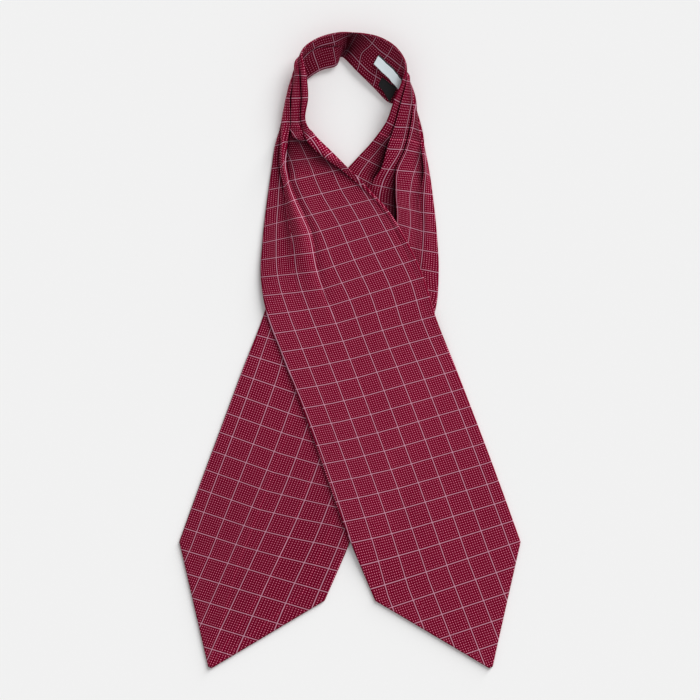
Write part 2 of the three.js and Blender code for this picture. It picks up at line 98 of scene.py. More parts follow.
FRONT_SHARES = (0.19, 0.41, 0.965)
BACK_SHARES = (0.14, 0.37, 0.6)
FRONT_CORNER = flat(-12.5, (25.2, -242.4), (164.3, -186), FRONT_SHARES, (0.41, 7.5), (-12.5, -12.05))
BACK_CORNER = flat(47.9, (-25.3, -242.2), (-164.4, -186), BACK_SHARES,
                   (0.69, 1.52, 2.93, 4.51, 7.6), (48.38, 47.7))
SECTIONS = [
    pointed(FRONT_TIP, FRONT_POINT, FRONT_CORNER, FRONT_SHARES, (4.17, 4.27), (-16.92, -16.92)),
    FRONT_CORNER,
    flat(-9.5, (0.8, -184.8), (145, -132.3), FRONT_SHARES,
         (0, 1.47, 3.16, 7.26, 7.5), (-9.92, -9.74, -9.58, -9.3, -9.3)),
    flat(-3, (-44, -59.5), (102.4, -19.8), FRONT_SHARES,
         (-0.07, 1.455, 3.15, 7.3, 7.54), (-3.17, -3.03, -2.96, -3, -3.01)),
    pleated(0, (-66, -2, 0), (-37.5, 2.5, 0), (-5, 9, 0), (76.5, 31.3, 0.6), (81.8, 32.8, 0.9),
            (0, 0, 0), (0, 1.44, 1.44, 3.09, 3.09, 7.35, 7.35, 7.63)),
    pleated(2, (-79.5, 34, 0), (-51.5, 37.5, 0), (-20, 42.5, 0), (65, 68.5, 1), (70.5, 70, 1.5),
            (0, 0.2, 0), (0, 1.42, 1.42, 3.0, 3.0, 7.32, 7.32, 7.63)),
    pleated(4, (-85.5, 70.5, 0), (-54, 73.5, 0), (-31, 76, 0), (50.5, 102, 1.4), (55, 104, 2.2),
            (-0.3, 0.6, 0), (0.17, 1.85, 1.85, 3.05, 3.2, 7.37, 7.37, 7.63)),
    pleated(6, (-84, 103.5, 0), (-56.5, 109.5, 0), (-37.5, 112.5, 0), (34.2, 132.6, 2.2), (37, 134, 3.2),
            (-0.9, 1, -0.2), (0.3, 1.8, 1.97, 3.13, 3.51, 7.38, 7.4, 7.63)),
    pleated(8, (-80.5, 136.5, 0), (-61.5, 141.5, 0.2), (-51.5, 145.5, 0.3), (9.3, 160, 2.8),
            (12.5, 160.5, 4.5), (-1.4, 1.2, -0.7), (0.49, 1.37, 2.45, 3.13, 3.68, 6.93, 6.94, 7.08)),
    pleated(9, (-78, 155, 0), (-63, 158, 0.5), (-58.6, 163.5, 0.8), (-7.2, 175, 3.6), (-2.5, 175.5, 6.5),
            (-2, 1.5, -1.5), (0.54, 1.2, 2.57, 3.1, 3.7, 6.42, 6.5, 6.85)),
    pleated(10, (-75, 175.5, 0), (-66.2, 177, 1), (-63.2, 182.5, 1.5), (-22.3, 187.8, 5), (-18, 190.5, 8.5),
            (-2.5, 3.2, -3.4), (0.6, 0.95, 2.64, 3.05, 3.74, 5.98, 6.04, 6.45)),
    pleated(11, (-71.5, 197.5, 0), (-65.4, 199, 2.2), (-61.2, 202, 4), (-40, 203.5, 8), (-34, 206.5, 12),
            (-2.3, 3.6, -2.4), (0.65, 0.92, 2.6, 2.95, 4.4, 5.4, 5.8, 6.2)),
    pleated(12, (-64.5, 217, 0), (-64.3, 220, 4), (-57.5, 221, 8.5), (-47, 221.5, 13), (-43, 222, 17),
            (-0.6, 2.6, 2.2), (0.6, 0.85, 2.4, 2.9, 5.2, 5.85, 6.25, 6.7)),
    pleated(13, (-59.3, 234, 0), (-59.8, 242.5, 5.5), (-56.8, 243, 11), (-47, 243.5, 16.5),
            (-40.5, 243.5, 20.5), (0, 2.4, 2.4), (0.2, 0.7, 2.3, 2.9, 5.2, 5.85, 6.25, 6.7)),
    pleated(14, (-54, 247, 0), (-54.2, 255.5, 6.5), (-52.2, 264, 12.5), (-47.6, 265, 18.5), (-42, 264.5, 22),
            (0.3, 1.1, 2.2), (0.2, 0.7, 2.3, 2.9, 5.2, 5.85, 6.25, 6.7)),
    pleated(15, (-47, 257.5, 1), (-49, 264, 6.5), (-50.4, 272.5, 12.5), (-47, 282, 18.5),
            (-45.4, 286.2, 22.5), (0.2, 0.5, 1.2), (0.2, 0.7, 2.3, 2.9, 5.2, 5.85, 6.25, 6.7)),
    band(16, (-29.5, 270, 4.5), (-33, 298.5, 21), 1, 16),
    band(17, (-13.4, 275, 5), (-13.5, 304.8, 19.5), 1.5, 17.05),
    band(18, (-7, 283.2, 4.5), (5.5, 304.8, 18.5), 3.5, 18.2),
    band(19, (7, 270, 5), (25.2, 302, 19), 1.5, 19.35),
    band(20, (22.5, 254.8, 4.5), (41.3, 293.6, 20), 1, 20.5),
    band(21, (38, 239.8, 3), (51, 281.2, 21.5), 0.5, 21.6),
    pleated(21.6, (48.6, 237, 1), (50.8, 248.5, 6), (51.4, 261, 12), (51.6, 269.5, 18), (52.8, 273.5, 22),
            (0.2, 0.5, 0.9), (3.1, 3.8, 4.6, 5.16, 5.9, 6.7, 7.05, 7.5), 22.2),
    pleated(22.4, (55.8, 230.5, 0), (57.4, 245, 6.5), (56.4, 257.3, 13), (52.6, 259.8, 18), (50.6, 261, 21),
            (0.3, 0.6, 1.8), (3.1, 3.8, 4.6, 5.16, 5.9, 6.7, 7.05, 7.5), 23),
    pleated(23.4, (62.4, 221.5, 0), (61.4, 234, 5), (59.6, 237, 9.5), (48.5, 239, 14.5), (43, 242, 18),
            (0.6, 1.6, 2.4), (3.1, 3.7, 4.6, 5.16, 5.9, 6.7, 7.05, 7.5), 24),
    pleated(24.4, (67.2, 208, 0), (65.6, 212, 2.4), (58.5, 215.5, 6), (43.2, 216.5, 10.5), (35.5, 220.5, 13),
            (1.2, 2.6, 2.6), (3.05, 3.4, 4.5, 5.16, 5.8, 6.7, 7.15, 7.5), 25),
    pleated(25.4, (72.8, 188.5, 0), (70.2, 190, 0.6), (54.4, 194, 3), (37.5, 195.5, 5.5), (23, 202.5, 8),
            (2, 2.8, 3.6), (2.9, 3.2, 3.9, 5.14, 5.8, 6.64, 6.71, 7.51), 26),
    pleated(26.4, (76.7, 169, 0), (72.5, 171.5, 0.3), (46.4, 174, 1.5), (32, 176, 2.5), (9.5, 187.5, 4),
            (2.1, 3.2, 3.2), (2.75, 3.14, 3.45, 5.11, 5.74, 6.3, 6.3, 7.51), 27),
    pleated(27.4, (79.2, 150.5, 0), (68.5, 152, 0), (45.8, 155, 0.4), (21.5, 160.5, 0.8), (-3, 174, 1),
            (1.3, 3.2, 1.5), (2.6, 3.17, 3.25, 5.08, 5.45, 6.4, 6.4, 7.51), 28),
    pleated(29.4, (83.2, 113, 0), (69.5, 115, 0), (46, 122, 0), (17.5, 130.5, 0), (-29, 145, 0),
            (0.6, 2.2, 0.5), (2.35, 3.1, 3.1, 5.1, 5.3, 6.25, 6.25, 7.51), 30),
    pleated(31.4, (85, 75, 0), (67, 78.5, 0), (36, 85, 0), (0, 95, 0), (-55, 108.5, 0),
            (0.4, 0.3, 0), (2.25, 3.05, 3.05, 4.8, 4.8, 6.1, 6.1, 7.51), 32),
    flat(33.4, (81.5, 37.5), (-72.5, 68.5), BACK_SHARES, (2.15, 3.0, 4.1, 5.5, 7.51), (34, 34)),
    flat(35.4, (66, -2), (-83, 33), BACK_SHARES, (-0.05, 7.51), (36, 36)),
    flat(38.4, (44.5, -60.5), (-103.4, -20), BACK_SHARES,
         (0.15, 1.2, 2.95, 4.69, 7.57), (38.6, 38.6, 38.6, 38.62, 38.79)),
    flat(41.5, (23, -119.8), (-123.4, -73.8), BACK_SHARES,
         (0.54, 1.52, 3.12, 4.73, 7.58), (41.73, 41.68, 41.61, 41.57, 41.68)),
    flat(44.9, (-0.5, -184.8), (-145.2, -132.5), BACK_SHARES,
         (0.62, 1.58, 3.07, 4.63, 7.58), (45.55, 45.44, 45.16, 44.95, 44.9)),
    BACK_CORNER,
    pointed(BACK_TIP, BACK_POINT, BACK_CORNER, BACK_SHARES, (3.68, 3.78), (52.83, 52.83)),
]
SECTION_AT = np.array([section.at for section in SECTIONS], float)


def smoothstep(low, high, value):
    share = np.clip((value - low) / (high - low), 0, 1)
    return share * share * (3 - 2 * share)


def bell(value, middle, half):
    return np.exp(-((value - middle) / half) ** 2)


def unit(vectors):
    return vectors / np.linalg.norm(vectors, axis=-1, keepdims=True)


def along(at, column):
    """A column of the sections at places on the strip: smooth up to the corners, straight to the tips."""
    values = np.array([getattr(section, column) for section in SECTIONS], float)
    marks, rows = SECTION_AT[1:-1], values[1:-1]

    def wide(numbers):
        return np.reshape(numbers, np.shape(numbers) + (1,) * (values.ndim - 1))

    length = wide(np.diff(marks))
    rate = np.diff(rows, axis=0) / length
    middle = (rate[:-1] * length[1:] + rate[1:] * length[:-1]) / (length[:-1] + length[1:])
    slope = np.concatenate([rate[:1], middle, rate[-1:]])
    low = np.clip(np.searchsorted(marks, at, side="right") - 1, 0, len(marks) - 2)
    high = low + 1
    gone = (wide(at) - wide(marks[low])) / length[low]
    left = 1 - gone
    start = left ** 2 * ((1 + 2 * gone) * rows[low] + gone * length[low] * slope[low])
    end = gone ** 2 * ((1 + 2 * left) * rows[high] - left * length[low] * slope[high])
    found = start + end
    for tip, corner in ((0, 1), (-1, -2)):
        share = (at - SECTION_AT[corner]) / (SECTION_AT[tip] - SECTION_AT[corner])
        beyond = share > 0
        found[beyond] = (values[corner] + (values[tip] - values[corner]) * wide(share))[beyond]
    return found


BACK_SECTIONS = [section for section in SECTIONS[:-1] if section.at > BACK_UNDER_FROM]
BACK_OUTLINE = np.array(
    [section.lines[-1][:2] for section in BACK_SECTIONS]
    + [BACK_POINT]
    + [section.lines[0][:2] for section in BACK_SECTIONS[::-1]], float)


def lift_over_back_blade(points):
    """How far the front of the strip is raised where it lies over the back blade."""
    x, y = points[..., 0:1], points[..., 1:2]
    ax, ay = BACK_OUTLINE.T
    bx, by = np.roll(BACK_OUTLINE, -1, axis=0).T
    dx, dy = bx - ax, by - ay
    share = np.clip(((x - ax) * dx + (y - ay) * dy) / (dx * dx + dy * dy), 0, 1)
    away = np.hypot(x - ax - dx * share, y - ay - dy * share).min(axis=-1)
    level = np.where(dy == 0, 1, dy)
    crossings = ((ay > y) != (by > y)) & (x < ax + dx * (y - ay) / level)
    outside = np.where(crossings.sum(axis=-1) % 2 == 1, 0, away)
    return LAYER_LIFT * (1 - smoothstep(0, SETTLE, outside))


def inside_points(at, strip, share):
    """Points of the plain inside face, on the straight way across one pleat strip."""
    lines = along(at, "lines")
    lines[..., 2] = np.maximum(lines[..., 2], 0)
    start, end = lines[:, strip, None], lines[:, strip + 1, None]
    points = start + (end - start) * share[..., None]
    over = at < LIFT_ENDS
    points[over, :, 2] += lift_over_back_blade(points[over])
    return points


NEARBY = 0.02  # half the stretch of strip that gives its direction


def ahead(at, strip, share):
    return inside_points(at + NEARBY, strip, share) - inside_points(at - NEARBY, strip, share)


def outward(at, strip, share):
    """Which way is off the inside face of a pleat strip, towards its outer face."""
    across = inside_points(at, strip, np.ones_like(share)) - inside_points(at, strip, np.zeros_like(share))
    return unit(np.cross(across, ahead(at, strip, share)))


# The four pleat strips and the three folds between them, counted from nought at the outer edge
STRIP_CELLS = (20, 16, 34, 12)
LAST_STRIP = 3
MIDDLE_FOLD = 1
LIP = 2  # the fold beside the neck, rolled up as a lip on the left
WIDEST_FOLD = 0.22  # the most of a strip's width that the fold beside it takes
FOLD_SPREAD = 0.6  # how much wider a fold gets for each millimetre of its height
CRISP_HEIGHTS = (1.0, 2.2)  # a fold this high starts to be sharp, and is fully so
LIP_CRISP_HEIGHTS = (0.2, 1.0)
CREASE_AT = 17.88  # the pressed crease behind the neck, where the two halves of the strip meet
NECK_BEGINS, NECK_ENDS = (8, 11.5), (25, 28)
PLEATS_SHUT, PLEATS_OPEN_AGAIN = (10.6, 12), (24.2, 25.6)


def crispness(steps):
    """How sharp each of the three folds is, from nothing to one. The rolled lip is sharp even if low."""
    crisp = smoothstep(*CRISP_HEIGHTS, np.abs(steps))
    lip = -steps[:, LIP]
    crisp[:, LIP] = np.where(lip > 0, smoothstep(*LIP_CRISP_HEIGHTS, lip), crisp[:, LIP])
    return crisp


def neckness(at):
    """One round the neck, fading to nothing where the blades lie flat."""
    return smoothstep(*NECK_BEGINS, at) * (1 - smoothstep(*NECK_ENDS, at))


def openness(at):
    """One where the pleats open into the blades and light is lost under them, nothing round the neck."""
    return 1 - smoothstep(*PLEATS_SHUT, at) * (1 - smoothstep(*PLEATS_OPEN_AGAIN, at))


# The profile of a fold: a nose of ten points from its top round into the crevice under it, with painted
# shade that darkens the crevice
FOLD_POINTS = 10
NOSE_TIP = 3  # the point that shows last from above
NOSE_TURNS = np.radians([85, 45, 10, -30, -70])
NOSE_RADIUS = 1.0
NOSE_ROUND = 0.42  # the radius of a low nose, as a share of its height over the groove
TALL_FOLD, TALL_SWELL = 2.4, 0.3  # over this height the radius grows, by this share of the rest
NOSE_OVERHANG = 0.3  # shares of the fold's height
UNDERCUT = 0.5
GROOVE_SHARE = 0.5
GROOVE_DIP = 1.2  # the deepest that the crevice is pressed into the strip beside it
ENTRY_SHARE, FLOOR_SHARE = 0.3, 0.4  # where the crevice narrows, as shares of the undercut
NOSE_DROOP = 0.1
# painted shade, from the lit nose into the dark crevice
FOLD_SHADES = np.array([1, 1, 0.95, 0.7, 0.4, 0.22, 0.12, 0.1, 0.12, 0.2])
SHARP_HEIGHTS = (0.05, 0.8)
SHADED_HEIGHTS = (0.3, 2.5)
Fold = namedtuple("Fold", "across heights shades tip sharp")


def fold_profile(step, crisp, before, after):
    """The rounded nose of a fold and the crevice under it: places across, heights, painted shade and nose
    tip.

    A fold that stands up towards the neck has its nose on that side; one that stands the other way is
    the mirror image. A low fold is laid out flat.
    """
    height = (np.abs(step) * crisp)[:, None]
    floor = CLOTH - np.minimum(GROOVE_DIP, GROOVE_SHARE * height)
    swell = TALL_SWELL * np.maximum(height - TALL_FOLD, 0)
    radius = np.minimum(NOSE_ROUND * (height + CLOTH - floor), NOSE_RADIUS + swell)
    overhang = NOSE_OVERHANG * height
    top = CLOTH + height
    arc_across = overhang + radius * np.cos(NOSE_TURNS)
    arc_height = top - radius + radius * np.sin(NOSE_TURNS)
    under = top - 2 * radius
    undercut = UNDERCUT * height
    crevice = [-ENTRY_SHARE * undercut, -undercut, -FLOOR_SHARE * undercut, overhang]
    across = np.concatenate([overhang - radius, arc_across, *crevice], axis=1)
    crevice = [under - NOSE_DROOP * radius, (under + floor) / 2, floor, floor]
    heights = np.concatenate([top, arc_height, *crevice], axis=1)
    across = across / (1 + FOLD_SPREAD * height)
    standing = (step > 0)[:, None]
    across = np.where(standing, across, -across[:, ::-1])
    heights = np.where(standing, heights, heights[:, ::-1])
    across = np.where(across > 0, across * after[:, None], across * before[:, None])
    shades = np.where(standing, FOLD_SHADES, FOLD_SHADES[::-1])
    spread = np.linspace(-1, 1, FOLD_POINTS + 2)[1:-1]
    laid = np.where(spread > 0, spread * after[:, None], spread * before[:, None])
    sharp = smoothstep(*SHARP_HEIGHTS, height)
    tip = np.where(step > 0, across[:, NOSE_TIP], across[:, -1 - NOSE_TIP])
    across = laid + (across - laid) * sharp
    heights = CLOTH + (heights - CLOTH) * sharp
    shades = 1 + (shades - 1) * smoothstep(*SHADED_HEIGHTS, height)
    return Fold(across, heights, shades, tip * sharp[:, 0], sharp)


# The face of a pleat strip between its folds
PLEAT_ROUND = 0.5
SOFT_RISE, SOFT_LEAN = 1.5, 1.6  # fullness of a pleat that is let out, and how far it leans to its fold
LIP_FALL = 0.8
GROOVE_REACH = 1.8
# The third strip on the left is tucked under where the blade opens: the tuck's edge across it, and a painted
# shadow below that edge
TUCKED_STRIP = 2
TUCK_SHARE = (0, 0.15, 0.35, 0.7, 1)
TUCK_AT = (12.1, 11.65, 11.2, 10.98, 10.9)
TUCK_HEIGHT, TUCK_EDGE, TUCK_FADE = 2.4, (-0.05, 0.06), 0.7
TUCK_PAINTED_SHADOW, TUCK_DARK_EDGE, TUCK_DARK_FADE = 0.9, (-0.03, 0.05), 0.3
TUCK_PALER = 0.3
# Painted light and shade: shares by which stretches of the cloth are painted paler or darker for how light
# falls on them
LEFT_NECK_PAINTED_LIGHT = 0.36
BACK_PAINTED_SHADE, BACK_DIMS = 0.055, (25, 29)
BACK_END_PAINTED_SHADE, BACK_END_DIMS = 0.09, (38, 46)
FRONT_END_PAINTED_SHADE, FRONT_END_DIMS = 0.04, (-12, -4)
FLANK_PAINTED_SHADE, FLANK_DIMS, FLANK_CLEARS = 0.16, (1, 5), (9, 11)
# Painted shade beside a fold: how far it reaches, by the fold's depth and where the pleats open, and how
# dark it is
DARK_REACH, REACH_PER_DEPTH = 1, 0.4
LEFT_WIDENS, RIGHT_WIDENS = 2.2, 2.7
MIDDLE_WIDENS, MIDDLE_WIDENS_MORE, MIDDLE_PLACES = 0.7, 4.5, (25.8, 29)
FOLD_PAINTED_SHADE, LEFT_DARKER, RIGHT_DARKER = 0.58, 0.3, 0.37
DARK_DEPTHS = (0.2, 2)
VALLEY_PAINTED_SHADE, VALLEY_REACH, VALLEY_DEPTHS = 0.5, 7, (0, 1.2)


def strip_heights(strip, share, width, steps, crisp, at):
    """How far the outer face of a pleat strip stands off the inside, and its painted light and shade."""
    heights = CLOTH + PLEAT_ROUND * neckness(at)[:, None] * np.sin(np.pi * share)
    # painted light on the left neck, and painted shade on the back blade and towards both ends
    painted_tone = 1 + LEFT_NECK_PAINTED_LIGHT * neckness(at) * (at < CREASE_AT)
    painted_tone -= BACK_PAINTED_SHADE * smoothstep(*BACK_DIMS, at) + BACK_END_PAINTED_SHADE * smoothstep(*BACK_END_DIMS, at)
    painted_tone -= FRONT_END_PAINTED_SHADE * (1 - smoothstep(*FRONT_END_DIMS, at))
    shade = np.repeat(painted_tone[:, None], share.shape[1], axis=1)
    # painted shade on the outer edge of the left flank, which faces away from the light
    if strip == 0:
        flank = smoothstep(*FLANK_DIMS, at) * (1 - smoothstep(*FLANK_CLEARS, at))
        shade -= FLANK_PAINTED_SHADE * flank[:, None] * (1 - share)
    if strip < LAST_STRIP:
        rise = np.maximum(steps[:, strip], 0)[:, None]
        sharp = crisp[:, strip, None]
        soft = SOFT_RISE * np.sin(np.pi * share ** SOFT_LEAN)
        heights += rise * (sharp * np.sin(share * np.pi / 2) + (1 - sharp) * soft)
    if strip > 0:
        rise = np.maximum(-steps[:, strip - 1], 0)[:, None]
        sharp = crisp[:, strip - 1, None]
        soft = SOFT_RISE * np.sin(np.pi * (1 - share) ** SOFT_LEAN)
        fall = LIP_FALL * share if strip == LAST_STRIP else 1 - np.cos(share * np.pi / 2)
        heights += rise * (sharp * (1 - fall) + (1 - sharp) * soft)
    opened = openness(at)[:, None]
    right = (at > CREASE_AT)[:, None]
    for fold, distance in ((strip - 1, share * width), (strip, (1 - share) * width)):
        if not 0 <= fold < LAST_STRIP:
            continue
        step = steps[:, fold, None]
        under = step > 0 if fold == strip - 1 else step < 0
        depth = np.abs(step) * crisp[:, fold, None] * under
        slack = np.abs(step) * (1 - crisp[:, fold, None]) * under
        groove = np.minimum(GROOVE_DIP, GROOVE_SHARE * depth)
        heights -= groove * bell(distance, 0, GROOVE_REACH) / 2
        widened = RIGHT_WIDENS * opened
        if fold == MIDDLE_FOLD:
            widened = MIDDLE_WIDENS + MIDDLE_WIDENS_MORE * smoothstep(*MIDDLE_PLACES, at)[:, None]
        reach = DARK_REACH + (REACH_PER_DEPTH + np.where(right, widened, LEFT_WIDENS * opened)) * depth
        darkest = FOLD_PAINTED_SHADE + np.where(right, RIGHT_DARKER, LEFT_DARKER) * opened
        falloff = (distance / reach) ** np.where(right, 1 + opened, 1)
        # painted shade under the fold's nose, and in the soft valley of a fold that is let out
        shade *= 1 - darkest * np.exp(-falloff) * smoothstep(*DARK_DEPTHS, depth)
        shade *= 1 - VALLEY_PAINTED_SHADE * bell(distance, 0, VALLEY_REACH) * smoothstep(*VALLEY_DEPTHS, slack)
    if strip == TUCKED_STRIP:
        above = at[:, None] - np.interp(share, TUCK_SHARE, TUCK_AT)
        heights += TUCK_HEIGHT * smoothstep(*TUCK_EDGE, above) * np.exp(-np.maximum(above, 0) / TUCK_FADE)
        # painted shadow below the tuck's edge
        dark = np.exp(np.minimum(above, 0) / TUCK_DARK_FADE) * (1 - smoothstep(*TUCK_DARK_EDGE, above))
        shade *= 1 - TUCK_PAINTED_SHADOW * dark * (1 - TUCK_PALER * share)
    return heights, shade


LIP_RISE = 1.6  # the lip is rolled up this many times as high as its step
LIP_UPRIGHT = (0, 1.5)  # heights between which the lip turns to stand straight up
FOLD_BLEND = 0.3  # share of a strip in which its face turns into the fold beside it
# How much of a fold's hidden cloth is used up at each point of its profile
FOLD_TAKEN = np.array([0, 0, 0, 0, 0.15, 0.35, 0.55, 0.75, 0.9, 1])
INSIDE_FIRST_COUNT, INSIDE_CHECK_SCALE = 0.55, 0.82
LOWEST_FACE = 0.1  # the outer face stays this far over the table


def silk_grids(at, creases=(), inside_creases=None):
    """Outer and inner points of a stretch of the strip, their places in the check, and their painted shade
    and light.
    """
    steps, warp, weft = along(at, "steps"), along(at, "warp"), along(at, "weft")
    steps[:, LIP] = np.where(steps[:, LIP] < 0, steps[:, LIP] * LIP_RISE, steps[:, LIP])
    crisp = crispness(steps)
    fold_margins = 1 + FOLD_SPREAD * np.abs(steps) * crisp
    lip = smoothstep(*LIP_UPRIGHT, -steps[:, LIP])[:, None]
    up = np.array([0, 0, 1])
    width = np.linalg.norm(np.diff(along(at, "lines"), axis=1), axis=-1)
    one, none = np.ones((len(at), 1)), np.zeros((len(at), 1))
    fold_out = []
    for fold in range(LAST_STRIP):
        fold_out.append(unit(outward(at, fold, one) + outward(at, fold + 1, none))[:, 0])
    fold_out[LIP] = unit(fold_out[LIP] + (up - fold_out[LIP]) * lip)

    margins = []
    for strip in range(LAST_STRIP + 1):
        widest = WIDEST_FOLD * width[:, strip]
        start = EDGE_INSET if strip == 0 else fold_margins[:, strip - 1]
        end = EDGE_INSET if strip == LAST_STRIP else fold_margins[:, strip]
        margins.append((np.minimum(start, widest), np.minimum(end, widest)))
    folds = []
    for fold in range(LAST_STRIP):
        before, after = margins[fold][1], margins[fold + 1][0]
        folds.append(fold_profile(steps[:, fold], crisp[:, fold], before, after))
    tips = [none[:, 0], *(fold.tip for fold in folds), none[:, 0]]

    def check_count(strip, distance):
        first, last = warp[:, 2 * strip, None], warp[:, 2 * strip + 1, None]
        start, end = tips[strip][:, None], (width[:, strip] + tips[strip + 1])[:, None]
        return first + (last - first) * (distance - start) / (end - start)

    outer, inner, count, lengthwise, shade = [], [], [], [], []
    for strip in range(LAST_STRIP + 1):
        # The face of the strip
        wide = width[:, strip, None]
        start, end = (margin[:, None] / wide for margin in margins[strip])
        share = start + (1 - end - start) * np.linspace(0, 1, STRIP_CELLS[strip] + 1)
        inside = inside_points(at, strip, share)
        way = outward(at, strip, share)
        for beside, near in ((strip - 1, share), (strip, 1 - share)):
            if 0 <= beside < LAST_STRIP:
                mix = (1 - smoothstep(0, FOLD_BLEND, near))[..., None]
                way = unit(way + (fold_out[beside][:, None] - way) * mix)
        if strip == LAST_STRIP:
            way = unit(way + (up - way) * lip[..., None])
        heights, shades = strip_heights(strip, share, wide, steps, crisp, at)
        outer.append(inside + way * heights[..., None])
        inner.append(inside)
        count.append(check_count(strip, share * wide))
        lengthwise.append(weft[:, strip, None] * (1 - share) + weft[:, strip + 1, None] * share)
        shade.append(shades)
        if strip == LAST_STRIP:
            break
        # The fold after it
        fold = folds[strip]
        base = inside_points(at, strip, one)
        out = fold_out[strip][:, None]
        side = unit(np.cross(ahead(at, strip, one), out))
        outer.append(base + side * fold.across[..., None] + out * fold.heights[..., None])
        past = (margins[strip + 1][0] / width[:, strip + 1])[:, None]
        last, first = inside[:, -1:], inside_points(at, strip + 1, past)
        inner.append(last + (first - last) * np.linspace(0, 1, FOLD_POINTS + 2)[None, 1:-1, None])
        so_far, from_here = check_count(strip, wide + fold.across), check_count(strip + 1, fold.across)
        fold_start, fold_end = warp[:, 2 * strip + 1, None], warp[:, 2 * strip + 2, None]
        standing = (steps[:, strip] > 0)[:, None]
        hidden = fold_start + (fold_end - fold_start) * np.where(standing, FOLD_TAKEN, 1 - FOLD_TAKEN[::-1])
        order = np.arange(FOLD_POINTS)
        folded = np.where(standing & (order <= NOSE_TIP), so_far, hidden)
        folded = np.where(~standing & (order >= FOLD_POINTS - 1 - NOSE_TIP), from_here, folded)
        laid = np.where(fold.across < 0, so_far, from_here)
        count.append(laid + (folded - laid) * fold.sharp)
        lengthwise.append(np.repeat(weft[:, strip + 1, None], FOLD_POINTS, axis=1))
        shade.append(fold.shades)

    outer, inner, count, lengthwise, shade = (
        np.concatenate(strips, axis=1) for strips in (outer, inner, count, lengthwise, shade))
    outer_check = np.stack([count, lengthwise], axis=-1)
    reach = np.linalg.norm(np.diff(inner, axis=1), axis=-1).cumsum(axis=1)
    reach = np.concatenate([none, reach], axis=1)
    inside_count = INSIDE_FIRST_COUNT + INSIDE_CHECK_SCALE * reach / CHECK
    inner_check = np.stack(np.broadcast_arrays(inside_count, at[:, None]), axis=-1)
    inner_shade = np.ones_like(reach)
    if inside_creases:
        sink, inner_shade, jog = inside_creases(at[:, None], reach / reach[:, -1:])
        inner = inner + unit(outer - inner) * sink[..., None]
        inner_check = inner_check + jog
    outer[..., 2] += crease_heights(outer, creases) * (1 - neckness(at))[:, None]
    outer[..., 2], inner[..., 2] = np.maximum(outer[..., 2], LOWEST_FACE), np.maximum(inner[..., 2], 0)
    return outer, inner, outer_check, inner_check, shade, inner_shade


CREASE_END = 0.08  # a crease starts and ends this far into its swell


def crease_heights(points, creases):
    """Soft ridges, and troughs where the height is below zero, each along a line on the table."""
    total = np.zeros(points.shape[:-1])
    for crease in creases:
        start, end = np.array(crease["start"], float), np.array(crease["end"], float)
        way = end - start
        offset = points[..., :2] - start
        share = np.clip((offset @ way) / (way @ way), 0, 1)
        away = np.linalg.norm(offset - share[..., None] * way, axis=-1)
        swell = np.sin(np.pi * (CREASE_END + (1 - 2 * CREASE_END) * share))
        total += crease["height"] * swell * bell(away, 0, crease["half_width"])
    return total


RIM_TURNS = np.radians([55, 0, -55])
RIM_STEP = 0.4  # cloth between two points of a rim, as a share of its thickness


def cell_corners(grid):
    corners = (grid[:-1, :-1], grid[:-1, 1:], grid[1:, 1:], grid[1:, :-1])
    return np.stack(corners, axis=2).reshape(-1, 4, *grid.shape[2:])


